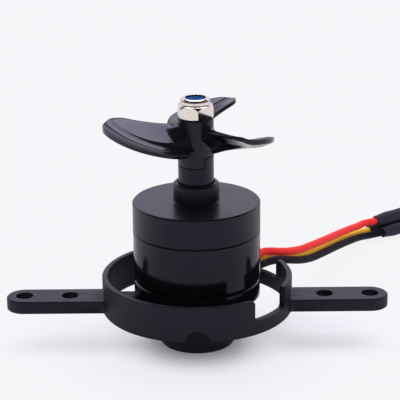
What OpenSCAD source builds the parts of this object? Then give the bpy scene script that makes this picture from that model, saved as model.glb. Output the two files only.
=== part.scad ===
// Small underwater thruster: an outrunner motor that stands in a two-arm ring
// bracket and turns a three-blade propeller. Millimetres, +Z up along the shaft
// towards the propeller, the arms along X, the foot of the bracket on z = 0.

/* [Bracket] */
// Outer diameter of the ring
ring_od = 58; // [54:0.5:70]
// Wall of the ring
ring_wall = 1.8; // [1.4:0.1:2.4]
// Height of the ring
ring_h = 11; // [9.5:0.5:14]
// Height of the ring's underside above the foot
ring_z = 11; // [9:0.5:12]
// Small chamfer on the bracket's outer edges
bracket_edge = 0.35; // [0.2:0.05:0.5]
// Overall span of the two arms
arm_span = 117; // [114:1:130]
// Width of an arm
arm_w = 11; // [9:0.5:13]
// Thickness of an arm
arm_t = 4; // [3:0.25:5]
// Radius where an arm runs into the ring
arm_fillet = 2; // [1:0.25:3]
// Diameter of the bolt holes in the arms
bolt_hole_d = 5.3; // [4.3:0.1:6]
// Distance between the two bolt holes of an arm
bolt_pitch = 14; // [12:0.5:15]
// Number of spokes that carry the hub
spoke_count = 3; // [3:1:5]
// Width of a spoke
spoke_w = 5; // [4:0.5:7]
// Thickness of a spoke
spoke_t = 3.5; // [2.5:0.25:4]
// Angle of a notch's edge next to the arm
notch_from = 25; // [22:1:30]
// Angle of a notch's far edge
notch_to = 54; // [48:1:58]
// Depth of a notch below the ring's rim
notch_depth = 5; // [3.5:0.25:6]
// Rounding of a notch's corners
notch_round = 1.5; // [0.8:0.1:2]
// Width of the drain arch at the ring's foot
arch_w = 7.5; // [5:0.25:10]
// Outer diameter of the hub and foot
hub_od = 22.5; // [22:0.25:25]
// Wall of the hollow foot
hub_wall = 1.8; // [1.4:0.1:2]
// Height of the seat that the motor stands on
seat_z = 15.5; // [15:0.25:17]
// Thickness of the seat
seat_t = 4; // [3:0.25:5]
// Diameter of the hole in the middle of the seat
seat_hole_d = 8; // [6:0.25:8.5]

/* [Motor] */
// Outer diameter of the base, the can and the cap
motor_od = 38.6; // [37:0.2:42]
// Height of the fixed base
base_h = 5.4; // [5:0.1:7]
// Floor of the base
base_floor = 4; // [3.5:0.1:4.5]
// Wall of the base's rim
base_wall = 1.6; // [1.2:0.1:2.2]
// Running gap between base and can
rotor_gap = 0.5; // [0.4:0.05:0.8]
// Height of the steel can
can_h = 14.8; // [14:0.1:18]
// Wall of the steel can
can_wall = 1.6; // [1.2:0.1:1.8]
// Height of the cap over the can
cap_h = 9.3; // [8.5:0.1:12]
// Wall of the cap's skirt
cap_wall = 2; // [1.8:0.1:2.6]
// Thickness of the cap's top
cap_top = 3; // [2:0.1:3.5]
// Chamfer on the motor's outer edges
motor_edge = 0.4; // [0.2:0.05:0.6]
// Height of the shadow groove between can and cap
seam_h = 0.35; // [0.2:0.05:0.6]
// Depth of the shadow groove between can and cap
seam_depth = 0.5; // [0.3:0.05:0.8]
// Length of the spigot that centres the can on the cap
spigot_h = 1.2; // [0.8:0.1:1.3]
// Outer diameter of the collar on the cap
collar_od = 13.9; // [13.4:0.1:16]
// Height of the collar
collar_h = 6; // [4:0.1:8]
// Depth of the collar's counterbore
collar_depth = 4.5; // [3:0.1:5]
// Radial gap between the collar and the drive dog
collar_gap = 0.35; // [0.1:0.05:0.5]
// Chamfer on the collar's rim
collar_edge = 0.6; // [0.3:0.05:0.8]

/* [Stator and magnets] */
// Number of stator teeth
tooth_count = 12; // [9:3:12]
// Width of a tooth
tooth_w = 2.8; // [2.2:0.1:3]
// Height of the lamination stack
stack_h = 10; // [8:0.1:10.5]
// Outer diameter of the stack's yoke
yoke_od = 15; // [14.4:0.1:15.6]
// Depth of a tooth's shoe
shoe_t = 1.3; // [0.9:0.1:1.6]
// Opening between neighbouring shoes
slot_gap = 1.4; // [1:0.1:2]
// Thickness of the end insulators
insulator_t = 0.8; // [0.5:0.1:1]
// Thickness of a coil's inner layers
coil_inner_t = 0.5; // [0.3:0.05:0.55]
// Thickness of a coil's outer layers
coil_outer_t = 1.1; // [0.8:0.05:1.2]
// Number of magnets
magnet_count = 14; // [10:2:16]
// Thickness of a magnet
magnet_t = 1.6; // [1.2:0.1:1.8]
// Height of a magnet
magnet_h = 12; // [10:0.1:12.2]
// Angle left free between neighbouring magnets
magnet_gap = 3; // [1.5:0.5:6]
// Air gap between magnets and stack
air_gap = 0.5; // [0.3:0.05:0.7]

/* [Shaft and bushes] */
// Diameter of the shaft in its bushes
shaft_d = 5; // [4:0.1:5.2]
// Diameter of the threaded stud above the cap
stud_d = 6; // [5.6:0.1:6.4]
// Wall of a bush
bush_wall = 1.5; // [1:0.1:1.6]
// Length of a bush without its flange
bush_len = 7; // [5:0.5:8]
// Thickness of a bush's flange
flange_t = 0.8; // [0.6:0.05:1]
// Wall of the tube that holds the bushes
tube_wall = 1.2; // [1:0.1:1.4]
// Height of the tube's top above the stack and its insulator
tube_over = 3.6; // [3:0.1:4.2]
// Thickness of a thrust washer
washer_t = 0.5; // [0.3:0.05:0.6]
// Thickness of the retaining clip
clip_t = 0.6; // [0.4:0.05:0.7]
// Depth of the recess for the clip under the base
recess_h = 2.9; // [2.8:0.05:3.2]
// Radial running clearance of the shaft
running_fit = 0.03; // [0.02:0.005:0.08]
// Axial play at the thrust washers
end_play = 0.15; // [0.1:0.05:0.25]

/* [Drive dog and propeller] */
// Diameter of the drive dog and of the propeller's hub
dog_od = 10.75; // [10.25:0.05:11]
// Height of the drive dog above the collar
dog_show = 5.15; // [4:0.05:7]
// Width of the dog's tongue
tongue_w = 6; // [4.5:0.1:7]
// Height of the dog's tongue
tongue_h = 3.1; // [2:0.1:3.6]
// Direction of the tongue
tongue_angle = -25; // [-90:5:90]
// Height of the propeller's hub
prop_hub_h = 14.85; // [14:0.05:17]
// Number of blades
blade_count = 3; // [2:1:4]
// Direction of the first blade's middle line
blade_angle = 193.5; // [0:0.5:360]
// Radius of the blade tips
blade_r = 28; // [24:0.5:28.5]
// Thickness of a blade
blade_t = 1.5; // [1:0.1:2]
// Extra thickness of a blade at its root
blade_root_t = 1; // [0:0.1:1.4]
// Share of the length where the tip starts to round
blade_tip_from = 0.7; // [0.55:0.05:0.8]
// Fullness of the rounded tip
blade_tip_power = 1.55; // [1.3:0.05:2.6]
// How far the rounded tip turns up
blade_tip_lift = 0.6; // [0:0.1:1]
// Steepness of the flat face beside the mean slope, at the root
blade_flat = 0.82; // [0.7:0.02:0.95]
// Steepness of the flat face beside the mean slope, at the tip
blade_flat_tip = 2; // [1.6:0.05:2.2]
// Power with which the cove flattens from the crease to the low edge
blade_cove_power = 2.6; // [1.8:0.1:3]

/* [Lock nut] */
// Width across the nut's flats
nut_af = 10; // [9.6:0.1:11]
// Height of the nut
nut_h = 6; // [5.5:0.1:7]
// Height of the nut's domed collar
nut_collar_h = 1.9; // [1.5:0.1:2.2]
// Diameter of the nut's domed collar
nut_collar_d = 8.9; // [8.6:0.1:9.4]
// Opening in the nut's collar
nut_mouth_d = 6.4; // [6:0.1:7]
// Direction of one of the nut's corners
nut_angle = -86; // [-90:1:-30]
// Bore of the nylon ring
insert_bore = 5.7; // [5.2:0.1:5.8]

/* [Screws and leads] */
// Diameter of the base screws
screw_d = 3; // [2.5:0.1:3]
// Diameter of a screw's head
screw_head_d = 5.4; // [5:0.1:5.6]
// Height of a screw's head
screw_head_h = 3; // [2:0.1:3.5]
// Distance of the base screws from the shaft
screw_r = 6.6; // [6.4:0.05:6.7]
// How far a screw reaches into the base
screw_grip = 3.4; // [2.5:0.1:3.6]
// Diameter of a lead
lead_d = 2.5; // [2:0.05:2.5]
// Direction in which the leads leave the base
lead_angle = 43; // [42:0.5:44]
// Distance between neighbouring leads at the grommet
lead_pitch = 2.7; // [2.6:0.05:2.8]
// Height of the leads' middle above the seat
lead_h = 3.3; // [3.2:0.05:3.4]
// Length of a sleeve
sleeve_len = 22; // [18:1:26]
// Diameter of a sleeve's mouth round the lead
sleeve_mouth_d = 3.6; // [3:0.1:4]
// Diameter of a sleeve over the bullet connector
sleeve_d = 4.6; // [4.2:0.1:5]
// Diameter of a bullet connector's pin
bullet_d = 3.5; // [3:0.1:4]
// Length of a bullet connector's pin
bullet_len = 8; // [6:0.5:10]

/* [Hidden] */
$fn = 96;
// Overlap that joins two shapes of one piece, and reach of a cut past a face
eps = 0.01;
cut = 1;
// Line-to-line fit of pieces that are pressed or bonded together
press_gap = 0.02;
// Clearance of pieces that slide together when assembled
slide_gap = 0.1;
// How far a rounding bites past its tangent, so that it ends in a clean edge
round_bite = 0.05;
// Radial step of a bush's flange, and the smaller one of a washer or clip
flange_over = 0.4;
washer_over = 0.1;
// Small chamfer on turned steel, and on the propeller's and the cap's turned edges
steel_edge = 0.4;
turned_edge = 0.3;
// Step of the base under the stack, beside the tube
stack_step = 1;
// How far the base stays inside the can's outline
base_inset = 0.1;
// Room that a coil leaves at the yoke and at the shoes
coil_yoke_gap = 0.3;
coil_shoe_gap = 0.15;
// How far the insulators stay inside the stack's outline
insulator_inset = 0.3;
// How far the nylon ring lies below the nut's rim, and the nut's wall round it
insert_sink = 0.5;
insert_wall = 0.6;
// Length of the shaft below its clip, and depth of the clip's groove
shaft_tail = 0.6;
groove_depth = 0.5;
// Rubber round the leads in the grommet, its depth in the base and its show outside
grommet_rim = 0.6;
grommet_seat = 3.2;
grommet_show = 0.6;
// Collars of the grommet round the leads
lead_collar_h = 0.8;
lead_collar_wall = 0.2;
// Straight stretch of a lead at its collar, and of its last run with its dip into the sleeve
lead_straight = 3.4;
lead_lie = 5.5;
lead_dip = 0.3;
// Mouth of the black sleeve on the floor, the sleeves' heading and their room side by side
sleeve_x = 66.7;
sleeve_y = 90.4;
sleeve_heading = 37;
sleeve_gap = 0.1;
// Shoulder of a bullet connector at its sleeve
bullet_shoulder = 1;
bullet_step = 0.3;

// The outer bolt hole shares its axis with the arm's round end
bolt_outer_x = arm_span / 2 - arm_w / 2;

// Levels along the shaft, from the foot upwards
hub_id = hub_od - 2 * hub_wall;
base_z0 = seat_z;
base_z1 = base_z0 + base_h;
floor_z1 = base_z0 + base_floor;
can_z0 = base_z1 + rotor_gap;
can_z1 = can_z0 + can_h;
cap_z1 = can_z1 + cap_h;
collar_z1 = cap_z1 + collar_h;
dog_z0 = collar_z1 - collar_depth;
dog_z1 = collar_z1 + dog_show;
prop_z1 = dog_z1 + prop_hub_h;
nut_z1 = prop_z1 + nut_h;
insert_h = nut_collar_h;
insert_z1 = nut_z1 - insert_sink;
insert_z0 = insert_z1 - insert_h;

// Radii from the can inwards
motor_r = motor_od / 2;
can_r = motor_r - can_wall;
magnet_r = can_r - press_gap;
stack_r = can_r - magnet_t - air_gap;
shoe_r = stack_r - shoe_t;

// Stack of stator, bushes and washers
bush_bore = shaft_d + 2 * running_fit;
bush_od = shaft_d + 2 * bush_wall;
tube_od = bush_od + 2 * tube_wall;
recess_d = bush_od + 2 * flange_over;
recess_z1 = base_z0 + recess_h;
stack_mid = (can_z0 + can_z1 - spigot_h) / 2;
stack_z0 = stack_mid - stack_h / 2;
stack_z1 = stack_mid + stack_h / 2;
tube_z1 = stack_z1 + insulator_t + tube_over;
lower_flange_z0 = recess_z1 - flange_t;
lower_washer_z0 = lower_flange_z0 - end_play - washer_t;
clip_z0 = lower_washer_z0 - press_gap - clip_t;
upper_flange_z1 = tube_z1 + flange_t;
upper_washer_z0 = upper_flange_z1 + end_play;
cap_boss_z0 = upper_washer_z0 + washer_t;
cap_boss_d = tube_od;
shaft_z0 = clip_z0 - shaft_tail;
shaft_z1 = insert_z0 - slide_gap;
groove_d = shaft_d - 2 * groove_depth;
washer_od = bush_od + 2 * washer_over;
coil_r0 = yoke_od / 2 + coil_yoke_gap;
coil_r1 = sqrt(pow(shoe_r, 2) - pow(tooth_w / 2 + coil_outer_t, 2)) - coil_shoe_gap;
coil_step_r = coil_r0 + 0.42 * (coil_r1 - coil_r0);
coil_h = stack_h + 2 * insulator_t;

// Outline of a blade at its root, half way out and at its tip: reach of the high
// edge and of the low edge round the shaft, and their heights above the hub's foot
high_reach = [1.7, 4.1, 9.2];
low_reach = [3.9, 13.9, 11.5];
high_rise = [12.05, 13.15, 15.35];
low_rise = [4.35, 6.85, 11.95];
// Share of the chord, from the high edge, where the crease starts at the root, and how it runs out
crease_root = 0.61;
crease_power = 1.55;
crease_tip = 0.02;
// Share of a blade's thickness that is left at its edges
edge_share = 0.55;
blade_r0 = (stud_d / 2 + dog_od / 2) / 2;
blade_stations = 14;
face_points = 5;
cove_points = 7;

// Leads, from the grommet to the sleeves
lead_z = base_z0 + lead_h;
grommet_w = 2 * lead_pitch + lead_d + 2 * grommet_rim;
grommet_h = lead_d + 2 * grommet_rim;
grommet_r0 = motor_r - grommet_seat;
grommet_r1 = motor_r + grommet_show;
sleeve_pitch = sleeve_d + sleeve_gap;
// First two points of a lead, straight out of its collar; side is -1, 0 or 1
function lead_exit(side) = [for (out = [0, lead_straight])
    let (r = grommet_r1 + lead_collar_h + out)
    [r * cos(lead_angle) - side * lead_pitch * sin(lead_angle),
        r * sin(lead_angle) + side * lead_pitch * cos(lead_angle), lead_z]];
// Last two points of a lead: the sleeves lie side by side, and the red one on the other two
function lead_end(row, level, along) = [for (back = [lead_lie, 0])
    let (on = along - back, off = row * sleeve_pitch)
    [sleeve_x + on * cos(sleeve_heading) - off * sin(sleeve_heading),
        sleeve_y + on * sin(sleeve_heading) + off * cos(sleeve_heading),
        sleeve_d / 2 + level * sleeve_pitch * sqrt(3) / 2 + (back > 0 ? lead_dip : 0)]];
red_route = concat(lead_exit(0), [
    [18.9, 18.4, 19.7], [20.7, 21, 20.7], [23.3, 23.7, 20.1], [26.7, 27.4, 18.6], [30.2, 31.8, 17.1],
    [33.8, 37.2, 15.7], [37.5, 44, 14.4], [41.4, 51.8, 13], [45.5, 60.2, 11.5], [49.6, 68.8, 10],
    [53.9, 77.2, 8.5], [57.3, 83.6, 7.3]
], lead_end(0.5, 1, -1.2));
yellow_route = concat(lead_exit(1), [
    [18.2, 21.1, 18.4], [20.8, 24, 17.8], [23.5, 27, 17.2], [26.9, 31, 15.8], [30.4, 35.8, 13.9],
    [34.1, 41.4, 12.2], [37.9, 48.4, 10.6], [41.8, 56.4, 9.1], [45.9, 64.8, 7.6], [50.1, 73.4, 6],
    [54.4, 82.2, 4.2]
], lead_end(1, 0, -2.3));
black_route = concat(lead_exit(-1), [
    [21.3, 17.2, 18.5], [23.4, 19.8, 18.2], [26.6, 24, 17.1], [30.1, 29, 15.1], [33.7, 35, 12.8],
    [37.4, 41.8, 10.8], [41.3, 49.6, 9.3], [45.3, 57.6, 8], [49.4, 65.8, 6.7], [53.6, 73.8, 5.3],
    [57.5, 80.8, 4]
], lead_end(0, 0, 0));

// Parabola through three values at 0, 1/2 and 1
function quad(v, u) =
    v[0] * (1 - u) * (1 - 2 * u) + 4 * v[1] * u * (1 - u) + v[2] * u * (2 * u - 1);

// Share of the full chord that is left at u on the way to the rounded tip
function tip_fill(u) = u <= blade_tip_from ? 1
    : sqrt(max(0, 1 - pow((u - blade_tip_from) / (1 - blade_tip_from), blade_tip_power)));

// Rise of the blade where its rounded tip turns up
function tip_turn(u) =
    blade_tip_lift * pow(max(0, u - blade_tip_from) / (1 - blade_tip_from), 2);

// Station i of a blade, closer together towards the tip
function station(i) = 0.998 * sin(90 * i / (blade_stations - 1));

// Place of the crease across the chord, which runs out at the tip's high edge
function crease(u) = crease_root * (1 - pow(u, crease_power)) + crease_tip;

// Steepness of the flat face beside the mean slope
function flat_slope(u) = blade_flat + (blade_flat_tip - blade_flat) * u;

// Fall from the high edge to the low edge: a flat face, then a cove past the crease
function fall(t, u) =
    let (c = crease(u), k = flat_slope(u))
    t < c ? k * t : k * c + (1 - k * c) * (1 - pow(1 - (t - c) / (1 - c), blade_cove_power));

// Places across the chord where a section has its points
function chord_places(u) = concat(
    [for (j = [0 : face_points - 1]) crease(u) * (1 - cos(90 * j / face_points))],
    [for (j = [0 : cove_points]) crease(u) + (1 - crease(u)) * sin(90 * j / cove_points)]
);

// Half thickness of a blade, full across the chord and rounded at both edges
function half_thickness(t, u) = (blade_t + blade_root_t * pow(1 - u, 4)) / 2
    * (edge_share + (1 - edge_share) * sqrt(sqrt(max(0, 1 - pow(abs(2 * t - 1), 6)))));

// Point of a blade at u along it and t across it, side +1 above and -1 below
function blade_point(u, t, side) =
    let (r = blade_r0 + (blade_r - blade_r0) * u)
    let (high = quad(high_reach, u), low = quad(low_reach, u))
    let (arc = (t * (high + low) - high) * tip_fill(u))
    let (place = (arc + high) / (high + low))
    let (rise = quad(high_rise, u) + (quad(low_rise, u) - quad(high_rise, u)) * fall(place, u)
        + tip_turn(u))
    let (drop = quad(high_rise, u) - quad(low_rise, u))
    let (chord = sqrt(pow(high + low, 2) + pow(drop, 2)))
    let (off = side * half_thickness(t, u))
    let (turn = (arc + off * drop / chord) / r * 180 / PI)
    [r * cos(turn), r * sin(turn), rise + off * (high + low) / chord];

// Closed ring of points round a blade's section
function blade_section(u) = let (p = chord_places(u)) concat(
    [for (t = p) blade_point(u, t, 1)],
    [for (j = [len(p) - 1 : -1 : 0]) blade_point(u, p[j], -1)]
);

// Triangles between two neighbouring rings of n points, the first starting at a
function band(a, b, n) = [for (j = [0 : n - 1], k = [0, 1])
    k == 0 ? [a + j, a + (j + 1) % n, b + (j + 1) % n] : [a + j, b + (j + 1) % n, b + j]];

// Direction of a route at point i
function along(p, i) =
    let (d = p[min(i + 1, len(p) - 1)] - p[max(i - 1, 0)]) d / norm(d);

// Ring of n points round point i of a route, which ends level and along the sleeves' heading
function lead_ring(p, i, r, n) =
    let (d = i == len(p) - 1 ? [cos(sleeve_heading), sin(sleeve_heading), 0]
        : i == 0 ? p[1] - p[0] : along(p, i))
    let (s = cross(d, [0, 0, 1]) / norm(cross(d, [0, 0, 1])), v = cross(s, d) / norm(d))
    [for (k = [0 : n - 1]) p[i] + r * (cos(360 * k / n) * s + sin(360 * k / n) * v)];

// Rectangle from the origin with equal chamfers c on its corners
module bevelled(w, h, c) {
    polygon([[c, 0], [w - c, 0], [w, c], [w, h - c], [w - c, h], [c, h], [0, h - c], [0, c]]);
}

// Ring that is turned from a rectangle between two radii and two levels
module turned(r0, r1, z0, z1) {
    rotate_extrude() translate([r0, z0]) square([r1 - r0, z1 - z0]);
}

// Square cutter's remainder outside a round: a fillet, or the waste of a rounded corner
module corner_waste(r, y_side, z_side) {
    length = ring_wall + 2 * cut;
    translate([ring_od / 2 - ring_wall - cut, 0, 0]) difference() {
        translate([0, y_side > 0 ? -eps : -r, z_side > 0 ? -eps : -r])
            cube([length, r + eps, r + eps]);
        translate([-cut, y_side * (r - round_bite), z_side * (r - round_bite)]) rotate([0, 90, 0])
            cylinder(r = r, h = length + 2 * cut);
    }
}

module ring_body() {
    translate([0, 0, ring_z]) rotate_extrude()
        translate([ring_od / 2 - ring_wall, 0]) bevelled(ring_wall, ring_h, bracket_edge);
}

// One of the two open notches beside the arm on the +X side
module notch_cut() {
    floor_z = ring_z + ring_h - notch_depth;
    rotate([0, 0, notch_from]) rotate_extrude(angle = notch_to - notch_from)
        translate([ring_od / 2 - ring_wall - cut, floor_z])
            square([ring_wall + 2 * cut, notch_depth + cut]);
    rotate([0, 0, notch_to]) translate([0, 0, ring_z + ring_h])
        corner_waste(notch_round, 1, -1);
    rotate([0, 0, notch_from]) translate([0, 0, ring_z + ring_h])
        corner_waste(notch_round, -1, -1);
}

// Fillets that round the inner corners of a notch
module notch_fillets() {
    floor_z = ring_z + ring_h - notch_depth;
    intersection() {
        ring_body();
        union() {
            rotate([0, 0, notch_to]) translate([0, 0, floor_z]) corner_waste(notch_round, -1, 1);
            rotate([0, 0, notch_from]) translate([0, 0, floor_z]) corner_waste(notch_round, 1, 1);
        }
    }
}

// Arm on the +X side, with a round end and fillets where it meets the ring
module arm() {
    root_x = ring_od / 2 - 0.75 * ring_wall;
    swing = ring_od / 2 + arm_fillet;
    centre = [sqrt(pow(swing, 2) - pow(arm_w / 2 + arm_fillet, 2)), arm_w / 2 + arm_fillet];
    touch = centre * ring_od / 2 / swing;
    translate([root_x, -arm_w / 2, ring_z]) rotate([90, 0, 90])
        linear_extrude(bolt_outer_x - root_x) bevelled(arm_w, arm_t, bracket_edge);
    translate([bolt_outer_x, 0, ring_z]) rotate_extrude() intersection() {
        translate([-arm_w / 2, 0]) bevelled(arm_w, arm_t, bracket_edge);
        square([arm_w, arm_t]);
    }
    for (side = [-1, 1])
        translate([0, 0, ring_z + bracket_edge]) linear_extrude(arm_t - 2 * bracket_edge)
            scale([1, side]) difference() {
                polygon([
                    [root_x + ring_wall / 4, 0], [centre[0], 0], centre, touch,
                    touch * (1 - ring_wall / ring_od)
                ]);
                translate(centre) circle(arm_fillet + round_bite);
            }
}

// Hollow foot with the seat that the motor stands on
module hub_body() {
    r = hub_od / 2;
    rotate_extrude() polygon([
        [hub_id / 2, 0], [r - bracket_edge, 0], [r, bracket_edge], [r, seat_z - bracket_edge],
        [r - bracket_edge, seat_z], [seat_hole_d / 2, seat_z], [seat_hole_d / 2, seat_z - seat_t],
        [hub_id / 2, seat_z - seat_t]
    ]);
}

// Spoke along +X, from inside the hub's wall into the ring's wall and clear below the motor
module spoke() {
    z0 = ring_z + 2 * bracket_edge;
    z1 = min(z0 + spoke_t, seat_z - 2 * slide_gap);
    translate([hub_od / 2 - hub_wall / 2, -spoke_w / 2, z0])
        cube([ring_od / 2 - ring_wall / 2 - hub_od / 2 + hub_wall / 2, spoke_w, z1 - z0]);
}

module at_screws() {
    for (i = [0 : 3]) rotate([0, 0, 45 + 90 * i]) translate([screw_r, 0, 0]) children();
}

module mount_bracket() {
    color("#1d1e22") difference() {
        union() {
            difference() {
                ring_body();
                for (side = [0, 1]) mirror([0, side, 0]) notch_cut();
                for (side = [-1, 1])
                    translate([0, side * (ring_od / 2 - ring_wall - cut), ring_z])
                        rotate([-90 * side, 0, 0])
                            cylinder(d = arch_w, h = ring_wall + 2 * cut);
            }
            for (side = [0, 1]) mirror([0, side, 0]) notch_fillets();
            for (side = [0, 1]) mirror([side, 0, 0]) arm();
            for (i = [0 : spoke_count - 1])
                rotate([0, 0, 180 + 360 * i / spoke_count]) spoke();
            hub_body();
        }
        for (side = [-1, 1], x = [bolt_outer_x - bolt_pitch, bolt_outer_x])
            translate([side * x, 0, ring_z - cut]) cylinder(d = bolt_hole_d, h = arm_t + 2 * cut);
        at_screws() translate([0, 0, seat_z - seat_t - cut])
            cylinder(d = screw_d + 4 * slide_gap, h = seat_t + 2 * cut);
    }
}

// Slot in the base for the grommet, open outwards and upwards
module grommet_slot() {
    rotate([0, 0, lead_angle])
        translate([grommet_r0 - slide_gap, -grommet_w / 2 - press_gap, lead_z - grommet_h / 2])
            cube([motor_r, grommet_w + 2 * press_gap, base_h]);
}

module motor_base() {
    e = motor_edge;
    r = motor_r - base_inset;
    color("#202126") difference() {
        rotate_extrude() polygon([
            [recess_d / 2, base_z0], [r - e, base_z0], [r, base_z0 + e], [r, base_z1 - e],
            [r - e, base_z1], [r - base_wall, base_z1], [r - base_wall, floor_z1],
            [tube_od / 2 + stack_step, floor_z1], [tube_od / 2 + stack_step, stack_z0 - insulator_t],
            [tube_od / 2, stack_z0 - insulator_t], [tube_od / 2, tube_z1],
            [bush_od / 2 + press_gap, tube_z1], [bush_od / 2 + press_gap, recess_z1],
            [recess_d / 2, recess_z1]
        ]);
        grommet_slot();
        at_screws() translate([0, 0, base_z0 - cut])
            cylinder(d = screw_d + 2 * press_gap, h = screw_grip + slide_gap + cut);
    }
}

// Plan of the stack: yoke, teeth and their shoes
module stack_plan(inset) {
    shoe_angle = 360 / tooth_count - slot_gap / stack_r * 180 / PI;
    difference() {
        union() {
            circle(d = yoke_od);
            for (i = [0 : tooth_count - 1]) rotate(360 * i / tooth_count) {
                translate([yoke_od / 2 - cut, -tooth_w / 2])
                    square([shoe_r - yoke_od / 2 + cut + shoe_t / 2, tooth_w]);
                intersection() {
                    difference() {
                        circle(stack_r - inset);
                        circle(shoe_r);
                    }
                    polygon([
                        [0, 0], 2 * stack_r * [cos(shoe_angle / 2), -sin(shoe_angle / 2)],
                        2 * stack_r * [cos(shoe_angle / 2), sin(shoe_angle / 2)]
                    ]);
                }
            }
        }
        circle(tube_od / 2 + press_gap);
    }
}

module stator_core() {
    color("#6c7076") translate([0, 0, stack_z0]) linear_extrude(stack_h) stack_plan(0);
}

module lower_insulator() {
    color("#e8e4d8") translate([0, 0, stack_z0 - insulator_t])
        linear_extrude(insulator_t) stack_plan(insulator_inset);
}

module upper_insulator() {
    color("#e8e4d8") translate([0, 0, stack_z1]) linear_extrude(insulator_t) stack_plan(insulator_inset);
}

// Loop of wire round a tooth, between two radii
module coil(r0, r1, t) {
    gap = press_gap;
    translate([r0, 0, stack_mid]) rotate([90, 0, 90]) linear_extrude(r1 - r0) difference() {
        translate([-tooth_w / 2 - t, -coil_h / 2 - t])
            bevelled(tooth_w + 2 * t, coil_h + 2 * t, t / 2);
        square([tooth_w + 2 * gap, coil_h + 2 * gap], center = true);
    }
}

module stator_windings() {
    color("#b4682f") for (i = [0 : tooth_count - 1]) rotate([0, 0, 360 * i / tooth_count]) {
        coil(coil_r0, coil_r1, coil_inner_t);
        coil(coil_step_r, coil_r1, coil_outer_t);
    }
}

// Flanged bush with its flange from the origin to -flange_t and its sleeve upwards
module bush() {
    difference() {
        union() {
            cylinder(d = bush_od, h = bush_len);
            translate([0, 0, -flange_t]) cylinder(d = recess_d - 2 * press_gap, h = flange_t + eps);
        }
        translate([0, 0, -flange_t - cut]) cylinder(d = bush_bore, h = bush_len + flange_t + 2 * cut);
    }
}

module lower_bush() {
    color("#d8d4c4") translate([0, 0, recess_z1]) bush();
}

module upper_bush() {
    color("#d8d4c4") translate([0, 0, tube_z1]) mirror([0, 0, 1]) bush();
}

// Socket head screws from inside the foot into the base
module base_screws() {
    color("#9a9ca0") at_screws() translate([0, 0, seat_z - seat_t]) difference() {
        union() {
            translate([0, 0, -screw_head_h]) cylinder(d = screw_head_d, h = screw_head_h);
            translate([0, 0, -eps]) cylinder(d = screw_d, h = seat_t + screw_grip + eps);
        }
        translate([0, 0, -screw_head_h - cut])
            cylinder(d = screw_d, h = screw_head_h / 2 + cut, $fn = 6);
    }
}

// Rubber grommet in the base's slot, with a short collar round each lead
module lead_grommet() {
    color("#15161a") rotate([0, 0, lead_angle]) {
        translate([grommet_r0, -grommet_w / 2, lead_z - grommet_h / 2])
            cube([grommet_r1 - grommet_r0, grommet_w, grommet_h]);
        for (i = [-1 : 1]) translate([grommet_r1 - eps, i * lead_pitch, lead_z])
            rotate([0, 90, 0]) cylinder(d = lead_d + 2 * lead_collar_wall, h = lead_collar_h + eps);
    }
}

// Lead that is swept along its route, eight-sided and square to the grommet and the sleeve
module lead(route) {
    sides = 8;
    rings = len(route);
    points = [for (i = [0 : rings - 1]) each lead_ring(route, i, lead_d / 2, sides)];
    polyhedron(
        points,
        concat(
            [[for (k = [sides - 1 : -1 : 0]) k]],
            [for (i = [0 : rings - 2]) each band(i * sides, (i + 1) * sides, sides)],
            [[for (k = [0 : sides - 1]) (rings - 1) * sides + k]]
        )
    );
}

module red_lead() {
    color("#d92a1e") lead(red_route);
}

module yellow_lead() {
    color("#efb514") lead(yellow_route);
}

module black_lead() {
    color("#18181b") lead(black_route);
}

// What lies at a lead's far end: its axis is level, along the sleeves' heading
module at_lead_end(route) {
    translate(route[len(route) - 1]) rotate([0, 0, sleeve_heading]) rotate([0, 90, 0]) children();
}

// Shrunk sleeve, narrow at the lead and full over the connector
module sleeve() {
    mouth_len = sleeve_len / 4;
    rotate_extrude() polygon([
        [0, 0], [sleeve_mouth_d / 2, 0], [sleeve_d / 2, mouth_len], [sleeve_d / 2, sleeve_len],
        [0, sleeve_len]
    ]);
}

// Pin of a bullet connector, with a shoulder at the sleeve and a rounded nose
module bullet() {
    nose = bullet_d / 4;
    r = bullet_d / 2;
    translate([0, 0, sleeve_len]) rotate_extrude() polygon([
        [0, 0], [sleeve_d / 2 - bullet_step, 0], [sleeve_d / 2 - bullet_step, bullet_shoulder],
        [r - bullet_step, bullet_shoulder], [r, bullet_shoulder + nose],
        [r, bullet_len - nose], [r - nose, bullet_len], [0, bullet_len]
    ]);
}

module red_sleeve() {
    color("#1b1c1f") at_lead_end(red_route) sleeve();
}

module yellow_sleeve() {
    color("#1b1c1f") at_lead_end(yellow_route) sleeve();
}

module black_sleeve() {
    color("#1b1c1f") at_lead_end(black_route) sleeve();
}

module red_bullet() {
    color("#d8b04a") at_lead_end(red_route) bullet();
}

module yellow_bullet() {
    color("#d8b04a") at_lead_end(yellow_route) bullet();
}

module black_bullet() {
    color("#d8b04a") at_lead_end(black_route) bullet();
}

// Cap of the rotor: top, skirt, spigot for the can, inner boss and outer collar
module bell_cap() {
    e = motor_edge;
    spigot_r = can_r - press_gap;
    skirt_r = motor_r - cap_wall;
    inner_r = min(skirt_r, spigot_r - 1);
    color("#222328") rotate_extrude() polygon([
        [shaft_d / 2 + press_gap, cap_boss_z0], [cap_boss_d / 2, cap_boss_z0],
        [cap_boss_d / 2, cap_z1 - cap_top], [inner_r, cap_z1 - cap_top],
        [inner_r, can_z1 - spigot_h], [spigot_r, can_z1 - spigot_h], [spigot_r, can_z1],
        [motor_r - seam_depth, can_z1], [motor_r - seam_depth, can_z1 + seam_h],
        [motor_r, can_z1 + seam_h], [motor_r, cap_z1 - e], [motor_r - e, cap_z1],
        [collar_od / 2 + turned_edge, cap_z1], [collar_od / 2, cap_z1 + turned_edge],
        [collar_od / 2, collar_z1 - collar_edge], [collar_od / 2 - collar_edge, collar_z1],
        [dog_od / 2 + collar_gap, collar_z1], [dog_od / 2 + collar_gap, dog_z0],
        [shaft_d / 2 + press_gap, dog_z0]
    ]);
}

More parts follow.
